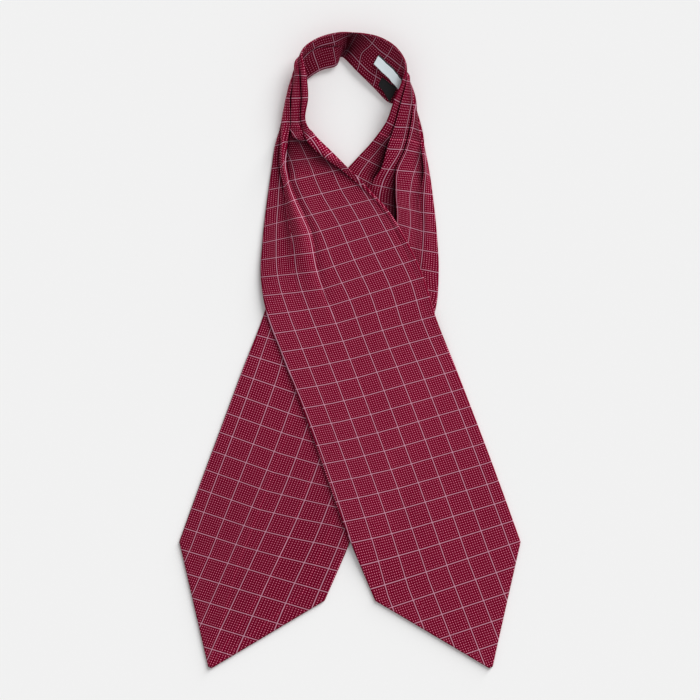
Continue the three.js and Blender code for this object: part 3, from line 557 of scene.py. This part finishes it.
def shell_mesh(name, outer, inner, outer_check, inner_check, shade, inner_shade):
    """A closed thin shell between two grids of points, with rounded rims along its two long edges."""
    rows, columns = outer.shape[:2]

    def rim(outside, inside, next_inside):
        middle, half = (outside + inside) / 2, (outside - inside) / 2
        away = unit(inside - next_inside) * np.linalg.norm(half, axis=-1, keepdims=True)
        return [middle + half * np.sin(turn) + away * np.cos(turn) for turn in RIM_TURNS]

    first_rim = np.stack(rim(outer[:, 0], inner[:, 0], inner[:, 1])[::-1], axis=1)
    last_rim = np.stack(rim(outer[:, -1], inner[:, -1], inner[:, -2]), axis=1)
    for rim_points in (first_rim, last_rim):
        rim_points[..., 2] = np.maximum(rim_points[..., 2], 0)
    turns = len(RIM_TURNS)
    points = np.concatenate([first_rim, outer, last_rim, inner], axis=1)
    ring = points.shape[1]
    index = np.arange(rows * ring).reshape(rows, ring)
    inner_start = columns + 2 * turns
    under = index[:, inner_start:]
    over = np.concatenate([under[:, :1], index[:, :inner_start], under[:, -1:]], axis=1)
    rim_reach = np.arange(turns, -1, -1) * CLOTH * RIM_STEP / CHECK
    level = np.zeros(turns + 1)
    before = outer_check[:, :1] - np.stack([rim_reach, level], axis=-1)
    after = outer_check[:, -1:] + np.stack([rim_reach[::-1], level], axis=-1)
    over_check = np.concatenate([before, outer_check, after], axis=1)

    faces = [cell_corners(over), cell_corners(under)[:, ::-1]]
    checks = [cell_corners(over_check), cell_corners(inner_check)[:, ::-1]]
    rim_ends = []
    for row, turned in ((0, False), (rows - 1, True)):
        face = over[row, turns + 1:turns + 1 + columns]
        cap = np.stack([under[row, :-1], under[row, 1:], face[1:], face[:-1]], axis=-1)
        cap_check = np.stack([inner_check[row, :-1], inner_check[row, 1:],
                              outer_check[row, 1:], outer_check[row, :-1]], axis=1)
        faces.append(cap[:, ::-1] if turned else cap)
        checks.append(cap_check[:, ::-1] if turned else cap_check)
        for fan in (over[row, :turns + 2], over[row, -turns - 2:]):
            rim_ends.append(list(fan if turned else fan[::-1]))
    mesh = bpy.data.meshes.new(name)
    mesh.from_pydata((points.reshape(-1, 3) * MM).tolist(), [], np.concatenate(faces).tolist() + rim_ends)
    layer = mesh.uv_layers.new(name="check")
    quad_spots = np.concatenate(checks).reshape(-1, 2)
    spots = np.zeros((len(mesh.loops), 2), np.float32)
    spots[:len(quad_spots)] = quad_spots
    layer.data.foreach_set("uv", spots.ravel())
    # painted shade and light, kept on the points and multiplied into the silk's colour
    depth = mesh.attributes.new("painted_shade_and_light", "FLOAT", "POINT")
    plain = np.ones((rows, turns), np.float32)
    values = np.concatenate([plain, shade, plain, inner_shade], axis=1)
    depth.data.foreach_set("value", values.astype(np.float32).ravel())
    mesh.shade_smooth()
    mesh.update()
    piece = bpy.data.objects.new(name, mesh)
    bpy.context.scene.collection.objects.link(piece)
    return piece


def places(start, end, step):
    count = max(1, round((end - start) / step))
    return np.linspace(start, end, count + 1)


# Silk colours, as light reflected, and sizes of the weave in squares of the check
GROUND_RED = (0.152, 0.0006, 0.0155, 1)
GROUND_RED_WORN = (0.178, 0.0012, 0.0200, 1)
PIN_DOT_PINK = (0.88, 0.235, 0.37, 1)
CHECK_LINE_PINK = (0.60, 0.285, 0.385, 1)
CHECK_LINE_HALF = 0.0165
CHECK_LINE_EDGE = (0.6, 1.4)  # shares of the half width between which the line ends
PINS_PER_SQUARE = 9
PIN_RADIUS = 0.172  # as a share of the space between two pins
PIN_EDGE = (0.75, 1.25)
TWILL_PER_SQUARE = 58
TWILL_TONES = (0.9, 1.08)
CLOUD_SCALE, CLOUD_DETAIL = 14, 3  # slow changes of colour over the cloth
PIN_RAISED, LINE_RAISED, TWILL_RAISED = 0.5, 0.6, 0.15
WEAVE_RELIEF, WEAVE_RELIEF_SHARE = 0.0002, 0.25  # metres, and how much of it shows
CLOUD_RANGE, SILK_ROUGHNESS = (0.3, 0.7), (0.5, 0.62)
SILK_GLOSS, SILK_GLOSS_TINT = 0.08, (1, 0.35, 0.5, 1)


def silk_twill():
    """Deep red silk twill with a woven check and rows of pin dots, each from its place in the check."""
    material = bpy.data.materials.new("silk_twill")
    material.use_nodes = True
    tree = material.node_tree
    shader = tree.nodes["Principled BSDF"]

    def node(kind, **settings):
        made = tree.nodes.new(kind)
        for key, value in settings.items():
            setattr(made, key, value)
        return made

    def calc(operation, first, second=0.0, third=0.0):
        made = node("ShaderNodeMath", operation=operation)
        for socket, value in zip(made.inputs, (first, second, third)):
            if isinstance(value, (int, float)):
                socket.default_value = value
            else:
                tree.links.new(value, socket)
        return made.outputs[0]

    def ramp(value, low, high, start, end):
        made = node("ShaderNodeMapRange", interpolation_type="SMOOTHSTEP")
        tree.links.new(value, made.inputs["Value"])
        for socket, number in zip(made.inputs[1:5], (low, high, start, end)):
            socket.default_value = number
        return made.outputs[0]

    def blend(factor, first, second, kind="MIX"):
        made = node("ShaderNodeMix", data_type="RGBA", blend_type=kind)
        for socket, value in zip((made.inputs[0], made.inputs[6], made.inputs[7]), (factor, first, second)):
            if isinstance(value, (int, float, tuple)):
                socket.default_value = value
            else:
                tree.links.new(value, socket)
        return made.outputs[2]

    def grey(value):
        made = node("ShaderNodeCombineColor")
        for socket in made.inputs:
            tree.links.new(value, socket)
        return made.outputs[0]

    def from_line(count):
        return calc("ABSOLUTE", calc("SUBTRACT", calc("FRACT", calc("ADD", count, 0.5)), 0.5))

    place = node("ShaderNodeUVMap", uv_map="check")
    parts = node("ShaderNodeSeparateXYZ")
    tree.links.new(place.outputs[0], parts.inputs[0])
    warp, weft = parts.outputs[0], parts.outputs[1]
    nearest = calc("MINIMUM", from_line(warp), from_line(weft))
    line = ramp(nearest, *(CHECK_LINE_HALF * edge for edge in CHECK_LINE_EDGE), 1, 0)
    pin_warp = from_line(calc("MULTIPLY", warp, float(PINS_PER_SQUARE)))
    pin_weft = from_line(calc("MULTIPLY", weft, float(PINS_PER_SQUARE)))
    from_pin = calc("SQRT", calc("ADD", calc("POWER", pin_warp, 2.0), calc("POWER", pin_weft, 2.0)))
    pin = ramp(from_pin, *(PIN_RADIUS * edge for edge in PIN_EDGE), 1, 0)

    cloud = node("ShaderNodeTexNoise", noise_dimensions="3D")
    cloud.inputs["Scale"].default_value = CLOUD_SCALE
    cloud.inputs["Detail"].default_value = CLOUD_DETAIL
    spot = node("ShaderNodeNewGeometry")
    tree.links.new(spot.outputs["Position"], cloud.inputs["Vector"])
    ground = blend(cloud.outputs[0], GROUND_RED, GROUND_RED_WORN)
    twill = calc("SINE", calc("MULTIPLY", calc("ADD", warp, weft), 2 * np.pi * TWILL_PER_SQUARE))
    colour = blend(1.0, ground, grey(ramp(twill, -1, 1, *TWILL_TONES)), "MULTIPLY")
    colour = blend(pin, colour, PIN_DOT_PINK)
    colour = blend(line, colour, CHECK_LINE_PINK)
    # painted shade and light from the points, multiplied into the colour
    depth = node("ShaderNodeAttribute", attribute_name="painted_shade_and_light", attribute_type="GEOMETRY")
    colour = blend(1.0, colour, grey(depth.outputs["Fac"]), "MULTIPLY")
    tree.links.new(colour, shader.inputs["Base Color"])

    raised = calc("ADD", calc("MULTIPLY", pin, PIN_RAISED), calc("MULTIPLY", line, LINE_RAISED))
    raised = calc("ADD", raised, calc("MULTIPLY", twill, TWILL_RAISED))
    bump = node("ShaderNodeBump")
    bump.inputs["Strength"].default_value = WEAVE_RELIEF_SHARE
    bump.inputs["Distance"].default_value = WEAVE_RELIEF
    tree.links.new(raised, bump.inputs["Height"])
    tree.links.new(bump.outputs[0], shader.inputs["Normal"])
    roughness = ramp(cloud.outputs[0], *CLOUD_RANGE, *SILK_ROUGHNESS)
    tree.links.new(roughness, shader.inputs["Roughness"])
    shader.inputs["Specular IOR Level"].default_value = SILK_GLOSS
    shader.inputs["Specular Tint"].default_value = SILK_GLOSS_TINT
    return material


silk = silk_twill()


def silk_piece(stretch, at, creases=(), inside_creases=None):
    piece = shell_mesh(stretch + "_silk", *silk_grids(at, creases, inside_creases))
    piece.data.materials.append(silk)
    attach(piece, "root")
    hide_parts(stretch)
    return piece


BLADE_ROWS = 0.1  # space between two rows of points along the strip
PLEATS_FADE = 6  # past this place the front blade's valleys are sharp, and its rows lie closer
# Soft creases of the blades, each along a line on the table
FRONT_CREASES = [
    {"start": (-56, 168), "end": (-40, 70), "half_width": 14, "height": 3.2},
    {"start": (-52, 95), "end": (-38, 20), "half_width": 9, "height": -0.35},
    {"start": (20, 40), "end": (55, -70), "half_width": 16, "height": 0.5},
    {"start": (60, -110), "end": (100, -230), "half_width": 20, "height": 0.45},
]
BACK_CREASES = [
    {"start": (70, 185), "end": (67, 120), "half_width": 5, "height": -0.8},
    {"start": (-75, 10), "end": (-100, -90), "half_width": 13, "height": 0.45},
    {"start": (-70, -130), "end": (-110, -240), "half_width": 18, "height": 0.45},
]
back_blade = silk_piece(
    "back_blade",
    np.concatenate([places(BACK_PLEATS_OPEN, BACK_CORNER.at, BLADE_ROWS),
                    places(BACK_CORNER.at, BACK_TIP, BLADE_ROWS)[1:]]),
    BACK_CREASES)
front_blade = silk_piece(
    "front_blade",
    np.concatenate([places(FRONT_TIP, FRONT_CORNER.at, BLADE_ROWS),
                    places(FRONT_CORNER.at, PLEATS_FADE, BLADE_ROWS)[1:],
                    places(PLEATS_FADE, FRONT_PLEATS_OPEN, BLADE_ROWS / 2)[1:]]),
    FRONT_CREASES)

# The two pleated neck stretches
# Beside the neck the strip is laid in four pleats, stitched down underneath. They stand up towards
# the loop, with deep gaps between their rolled edges, darkened further by painted shade.
LEFT_TURN = 15  # the places where the strip turns into the band
RIGHT_TURN = 21.6
PLEAT_ROWS = 0.04
front_pleats = silk_piece("front_neck_pleats", places(FRONT_PLEATS_OPEN, LEFT_TURN, PLEAT_ROWS))
back_pleats = silk_piece("back_neck_pleats", places(RIGHT_TURN, BACK_PLEATS_OPEN, PLEAT_ROWS))

# The nape band
# Behind the neck the pleats are stitched into a band that leans back, so that its plain inside shows
# above its pleated outside. It was pressed in half, which left a deep crease at its middle.
# Sizes along the band are in squares of the check, and sizes across it are shares of its width
# Painted shade on the inside of the band, which lies out of the light: darker in the crease, its hollow, the
# slope right of it and along the join
BAND_PAINTED_SHADE = 0.78  # the inside of the band lies out of the light
CREASE_DEPTH, CREASE_HALF, CREASE_PAINTED_SHADE = 1.3, 0.3, 0.32
SIDES_HALF, SIDES_PAINTED_SHADE = 0.8, 0.34  # both sides of the crease
HOLLOW_AT, HOLLOW_HALF, HOLLOW_PAINTED_SHADE = 18.1, 0.24, 0.6  # the deepest part of the crease
HOLLOW_SHARE, HOLLOW_SHARE_HALF = 0.3, 0.26
SLOPE_AT, SLOPE_HALF, SLOPE_PAINTED_SHADE = 18.35, 0.4, 0.2  # the cloth that rises again on its right
# The lengthwise join left of the crease
JOIN_AT, JOIN_SHARE = (15.3, 16, 17, 17.6), (0.74, 0.72, 0.58, 0.45)
JOIN_ENDS = (17, 17.8)
JOIN_DEPTH, JOIN_HALF = 0.7, 0.03
JOIN_PAINTED_SHADE, JOIN_DARK_HALF = 0.35, 0.04
ALL_SHIFT, LEFT_SHIFT, RIGHT_SHIFT = 0.14, 0.27, -0.32
LEFT_ENDS = (-0.2, 0.15)  # measured from the crease
RIGHT_SHIFT_AT = (19.3, 21.2)
LEFT_SLANT = 0.3
JOIN_JOG, JOIN_EDGE = -0.12, (-0.02, 0.02)
RIGHT_BOW, BOW_SHARE, BOW_HALF, BOW_FROM = 0.22, 0.42, 0.25, (18.2, 18.8)
CREASE_JOG, CREASE_JOG_HALF = -0.12, 0.25


def band_creases(at, share):
    off = at - CREASE_AT
    left = 1 - smoothstep(*LEFT_ENDS, off)
    from_join = share - np.interp(at, JOIN_AT, JOIN_SHARE)
    joined = 1 - smoothstep(*JOIN_ENDS, at)
    crease = bell(off, 0, CREASE_HALF)
    sink = CREASE_DEPTH * crease + JOIN_DEPTH * bell(from_join, 0, JOIN_HALF) * joined

    # painted shade of the band's inside and its creases
    shade = BAND_PAINTED_SHADE * (1 - CREASE_PAINTED_SHADE * crease - SIDES_PAINTED_SHADE * bell(off, 0, SIDES_HALF))
    hollow = bell(at, HOLLOW_AT, HOLLOW_HALF) * bell(share, HOLLOW_SHARE, HOLLOW_SHARE_HALF)
    shade = shade * (1 - HOLLOW_PAINTED_SHADE * hollow)
    shade = shade * (1 - SLOPE_PAINTED_SHADE * bell(at, SLOPE_AT, SLOPE_HALF))
    shade = shade * (1 - JOIN_PAINTED_SHADE * bell(from_join, 0, JOIN_DARK_HALF) * joined)

    across = ALL_SHIFT + LEFT_SHIFT * left + RIGHT_SHIFT * smoothstep(*RIGHT_SHIFT_AT, at)
    lengthwise = LEFT_SLANT * share * left + JOIN_JOG * smoothstep(*JOIN_EDGE, from_join) * joined
    lengthwise += RIGHT_BOW * bell(share, BOW_SHARE, BOW_HALF) * smoothstep(*BOW_FROM, at)
    lengthwise += CREASE_JOG * bell(off, 0, CREASE_JOG_HALF)
    return sink, shade, np.stack(np.broadcast_arrays(across, lengthwise), axis=-1)


BAND_ROWS = 0.05
nape = silk_piece("nape_band", places(LEFT_TURN, RIGHT_TURN, BAND_ROWS), inside_creases=band_creases)

# The labels
# Two small woven labels are stitched flat to the inside of the band: a white satin one, and a black
# one below it. Both are bare.
LABEL_THICKNESS = 0.5
LABEL_GAP = 0.3
LABEL_ROWS, LABEL_COLUMNS = 40, 12
LABEL_WHITE, LABEL_WHITE_THREAD = (0.88, 0.97, 1.0, 1), (0.83, 0.94, 1.0, 1)
LABEL_BLACK, LABEL_BLACK_THREAD = (0.0075, 0.007, 0.0085, 1), (0.02, 0.0195, 0.022, 1)
BORDER_BLACK = (0.012, 0.012, 0.014, 1)
BORDER_FROM = 0.9  # share of the label's height where its woven border starts
RIBS_PER_MM, RIB_WAVER = 2.6, 0.6
RIB_RELIEF, RIB_RELIEF_SHARE = 0.0001, 0.3  # metres, and how much of it shows
LABEL_ROUGHNESS, LABEL_GLOSS = 0.55, 0.25
SHEEN_TINT = (0.8, 0.95, 1, 1)
# "edges" are places along the band, each with the shares of its width at the label's two long edges.
# "stand_off" is how far the lower edge hangs loose, and "lean" how far the upper edge is moved along.
Label = namedtuple("Label", "node slot colour thread border sheen stand_off lean edges")
LABELS = [
    Label("woven_label", "label_white", LABEL_WHITE, LABEL_WHITE_THREAD, BORDER_BLACK,
          sheen=0.9, stand_off=2, lean=0,
          edges=[(19.55, 0.42, 0.642), (20.1, 0.404, 0.622), (20.6, 0.448, 0.664),
                 (21, 0.42, 0.654), (21.45, 0.29, 0.53)]),
    Label("care_label", "label_black", LABEL_BLACK, LABEL_BLACK_THREAD, LABEL_BLACK,
          sheen=0, stand_off=0.3, lean=0.16,
          edges=[(20.2, 0.117, 0.303), (20.57, 0.112, 0.35), (20.82, 0.066, 0.37), (21.02, 0.02, 0.365)]),
]


def label_weave(label):
    """Close ribbed weave with a border thread along the upper edge, from its place on the label in mm."""
    material = bpy.data.materials.new(label.node)
    material.use_nodes = True
    tree = material.node_tree
    shader = tree.nodes["Principled BSDF"]
    place = tree.nodes.new("ShaderNodeUVMap")
    place.uv_map = "check"
    ribs = tree.nodes.new("ShaderNodeTexWave")
    ribs.bands_direction = "Y"
    ribs.inputs["Scale"].default_value = RIBS_PER_MM
    ribs.inputs["Distortion"].default_value = RIB_WAVER
    tree.links.new(place.outputs[0], ribs.inputs["Vector"])
    weave = tree.nodes.new("ShaderNodeMix")
    weave.data_type = "RGBA"
    tree.links.new(ribs.outputs["Fac"], weave.inputs[0])
    weave.inputs[6].default_value, weave.inputs[7].default_value = label.thread, label.colour
    height = tree.nodes.new("ShaderNodeSeparateXYZ")
    tree.links.new(place.outputs[0], height.inputs[0])
    edge = tree.nodes.new("ShaderNodeMath")
    edge.operation = "GREATER_THAN"
    edge.inputs[1].default_value = BORDER_FROM
    tree.links.new(height.outputs[0], edge.inputs[0])
    border = tree.nodes.new("ShaderNodeMix")
    border.data_type = "RGBA"
    tree.links.new(edge.outputs[0], border.inputs[0])
    tree.links.new(weave.outputs[2], border.inputs[6])
    border.inputs[7].default_value = label.border
    tree.links.new(border.outputs[2], shader.inputs["Base Color"])
    bump = tree.nodes.new("ShaderNodeBump")
    bump.inputs["Strength"].default_value = RIB_RELIEF_SHARE
    bump.inputs["Distance"].default_value = RIB_RELIEF
    tree.links.new(ribs.outputs["Fac"], bump.inputs["Height"])
    tree.links.new(bump.outputs[0], shader.inputs["Normal"])
    shader.inputs["Roughness"].default_value = LABEL_ROUGHNESS
    shader.inputs["Specular IOR Level"].default_value = LABEL_GLOSS
    shader.inputs["Sheen Weight"].default_value = label.sheen
    shader.inputs["Sheen Tint"].default_value = SHEEN_TINT
    return material


def on_band(at, share):
    """Points of the band's inside at shares of its width, and which way is into the loop there."""
    points, into = np.zeros((len(at), 3)), np.zeros((len(at), 3))
    strips = LAST_STRIP + 1
    for strip in range(strips):
        here = (share >= strip / strips) & (share < (strip + 1) / strips)
        local = np.clip(share * strips - strip, 0, 1)[:, None]
        points[here] = inside_points(at, strip, local)[here, 0]
        into[here] = -outward(at, strip, local)[here, 0]
    return points, into


for label in LABELS:
    marks, low, high = np.array(label.edges).T
    progress, span = np.linspace(0, 1, LABEL_ROWS + 1)[:, None], np.linspace(0, 1, LABEL_COLUMNS + 1)
    row_at = marks[0] + (marks[-1] - marks[0]) * progress
    at = row_at + label.lean * progress * span
    share = np.interp(row_at, marks, low) * (1 - span) + np.interp(row_at, marks, high) * span
    under, into = (grid.reshape(*share.shape, 3) for grid in on_band(at.ravel(), share.ravel()))
    under = under + into * (LABEL_GAP + label.stand_off * (1 - span))[:, None]
    spots = np.stack([np.broadcast_to(span, share.shape), at * CHECK], axis=-1)
    face = under + into * LABEL_THICKNESS
    bright = np.ones(share.shape)
    piece = shell_mesh(label.node + "_cloth", under, face, spots, spots, bright, bright)
    piece.data.materials.append(label_weave(label))
    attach(piece, "root")
    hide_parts(label.node)

# The table
# The cravat lies on a broad sheet of matt paper, just below it so that the two don't touch. The paper
# is pale, with a faint even tooth.
TABLE_DROP = 0.3
TABLE_SIDE = 6  # metres
PAPER_PALE = (0.925, 0.925, 0.925, 1)
PAPER_TOOTH = (0.915, 0.915, 0.915, 1)
TOOTH_SCALE = 2000
PAPER_ROUGHNESS = 0.9
bpy.ops.mesh.primitive_plane_add(size=TABLE_SIDE, location=(0, 0, -TABLE_DROP * MM))
table = bpy.context.object
table.name = "table"
paper = bpy.data.materials.new("pale_paper")
paper.use_nodes = True
paper_shader = paper.node_tree.nodes["Principled BSDF"]
tooth = paper.node_tree.nodes.new("ShaderNodeTexNoise")
tooth.inputs["Scale"].default_value = TOOTH_SCALE
tint = paper.node_tree.nodes.new("ShaderNodeMix")
tint.data_type = "RGBA"
tint.inputs[6].default_value, tint.inputs[7].default_value = PAPER_TOOTH, PAPER_PALE
paper.node_tree.links.new(tooth.outputs[0], tint.inputs[0])
paper.node_tree.links.new(tint.outputs[2], paper_shader.inputs["Base Color"])
paper_shader.inputs["Roughness"].default_value = PAPER_ROUGHNESS
paper_shader.inputs["Specular IOR Level"].default_value = 0.0
table.data.materials.append(paper)

# Light
# A white room with one broad soft light from the upper right. A second one skims the table, and gives
# the flat blades the wide pale shadow that such a thin cloth has.
ROOM_STRENGTH = 0.452
LIGHT_TURN = 54  # degrees from the right towards the top
world = bpy.data.worlds.new("studio")
bpy.context.scene.world = world
world.use_nodes = True
room = world.node_tree.nodes["Background"]
room.inputs["Color"].default_value = (1, 1, 1, 1)
room.inputs["Strength"].default_value = ROOM_STRENGTH


def far_light(name, strength, spread, tilt):
    """A light from far off, so many degrees wide, and tilted by so many from straight above."""
    data = bpy.data.lights.new(name, "SUN")
    data.energy = strength
    data.angle = np.radians(spread)
    light = bpy.data.objects.new(name, data)
    bpy.context.scene.collection.objects.link(light)
    light.rotation_euler = (0, np.radians(tilt), np.radians(LIGHT_TURN))
    return light


far_light("key", strength=2.37, spread=34, tilt=58)
skim = far_light("skim", strength=1.62, spread=20, tilt=78)
lit_low = bpy.data.collections.new("lit_low")
shading_low = bpy.data.collections.new("shading_low")
for blade in (back_blade, front_blade):
    lit_low.objects.link(blade)
    shading_low.objects.link(blade)
lit_low.objects.link(table)
skim.light_linking.receiver_collection = lit_low
skim.light_linking.blocker_collection = shading_low

# Camera
# It looks straight down from far off. A blade is 150 mm wide and takes 155 of the 700 pixels of the
# frame's width, which gives the field.
FRAME_PIXELS, BLADE_PIXELS, BLADE_WIDTH = 700, 155, 150
FIELD = FRAME_PIXELS * BLADE_WIDTH / BLADE_PIXELS
LENS, SENSOR = 300, 36
camera_data = bpy.data.cameras.new("camera")
camera_data.lens = LENS
camera_data.sensor_width = SENSOR
camera = bpy.data.objects.new("camera", camera_data)
bpy.context.scene.collection.objects.link(camera)
camera.location = (0, 0, FIELD * MM * LENS / SENSOR)
bpy.context.scene.camera = camera
bpy.context.scene.view_settings.view_transform = "Standard"
